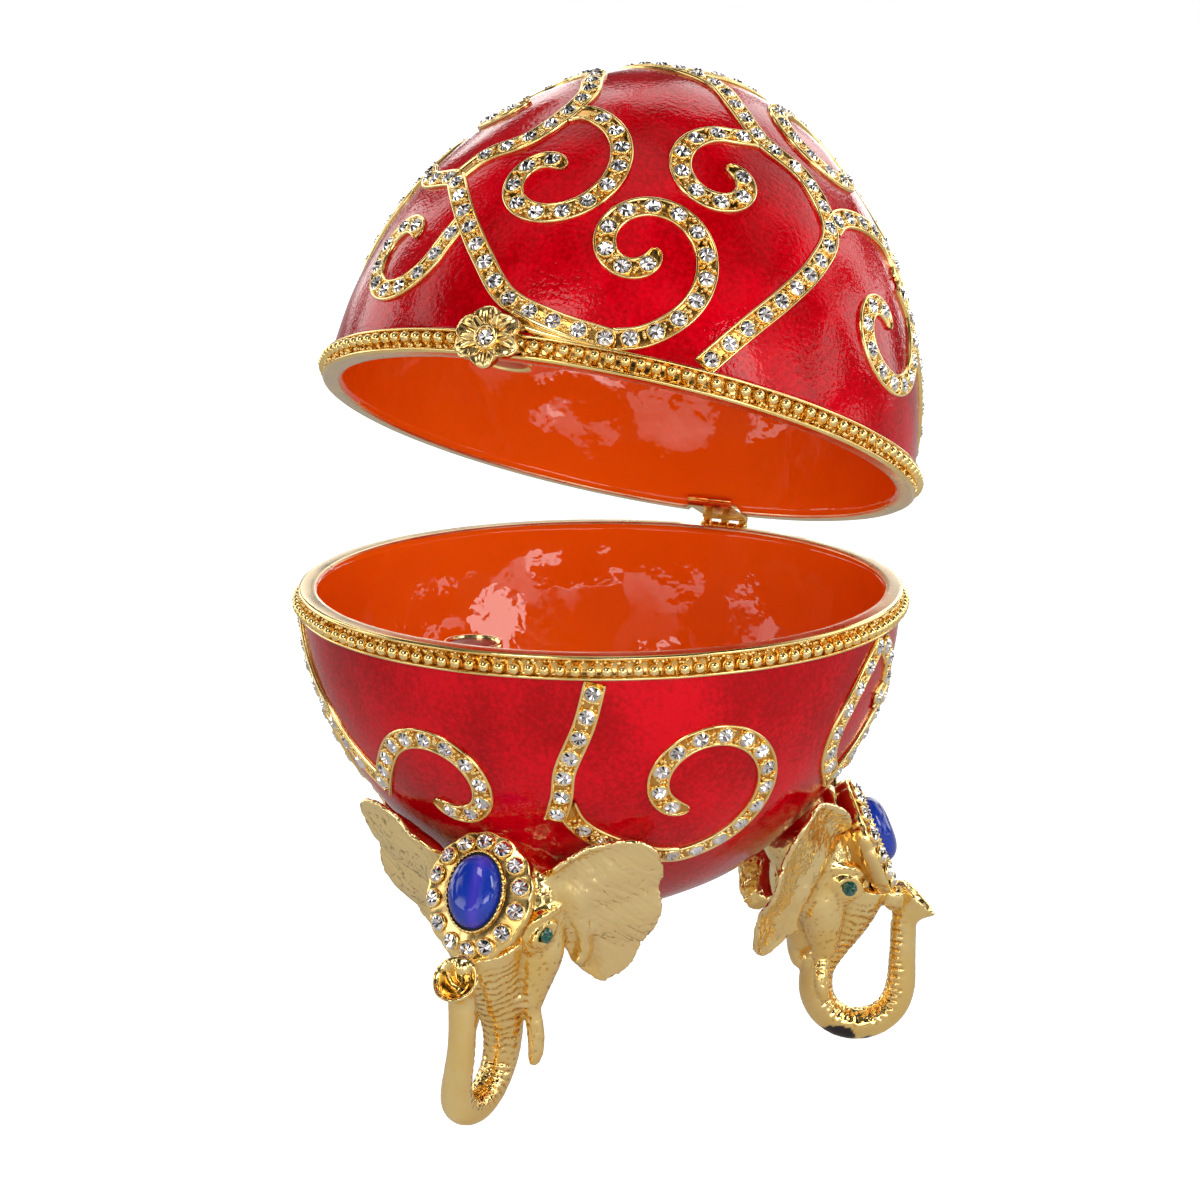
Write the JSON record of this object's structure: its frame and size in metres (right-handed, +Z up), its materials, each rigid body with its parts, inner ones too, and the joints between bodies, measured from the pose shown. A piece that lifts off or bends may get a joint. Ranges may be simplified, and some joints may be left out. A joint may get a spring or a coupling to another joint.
{
  "type": "jewelled egg trinket box",
  "caption": "Egg-shaped metal trinket box in red enamel and gold scrollwork, with a hinged lid, magnet catch and elephant-head feet whose curled trunks stand on the table.",
  "frame": {"origin": "middle of the box's footprint, seen from above, on the surface it stands on, with the lid part open as in the picture", "axes": "+Z up, -Y the front, where the flower and the front elephant are, +Y the hinge side, +X to the right seen from the front"},
  "size_m": [0.092, 0.1036, 0.1474],
  "materials": {
    "red_enamel": "glossy translucent red enamel over cast zinc alloy",
    "gold_plate": "polished gold plate over cast zinc alloy, worn in the hollows",
    "hinge_gold": "gold-plated folded sheet brass",
    "blue_cabochon": "polished blue cat's-eye glass, opaque",
    "magnet_metal": "nickel-plated disc magnet"
  },
  "bodies": {
    "base": {"bowl": "red_enamel", "bowl_magnet": "magnet_metal", "hinge_bowl_leaf": "hinge_gold", "hinge_pin": "hinge_gold", "elephant_front": "gold_plate", "elephant_right": "gold_plate", "elephant_left": "gold_plate", "cabochon_front": "blue_cabochon", "cabochon_right": "blue_cabochon", "cabochon_left": "blue_cabochon"},
    "lid": {"lid": "red_enamel", "lid_magnet": "magnet_metal", "hinge_lid_leaf": "hinge_gold"}
  },
  "joints": [
    {"name": "lid_hinge", "type": "hinge", "parent": "base", "child": "lid", "pos_m": [-0.003, 0.04677, 0.0709], "axis": [-1, 0, 0], "range_deg": [-25.4, 34.6]}
  ]
}
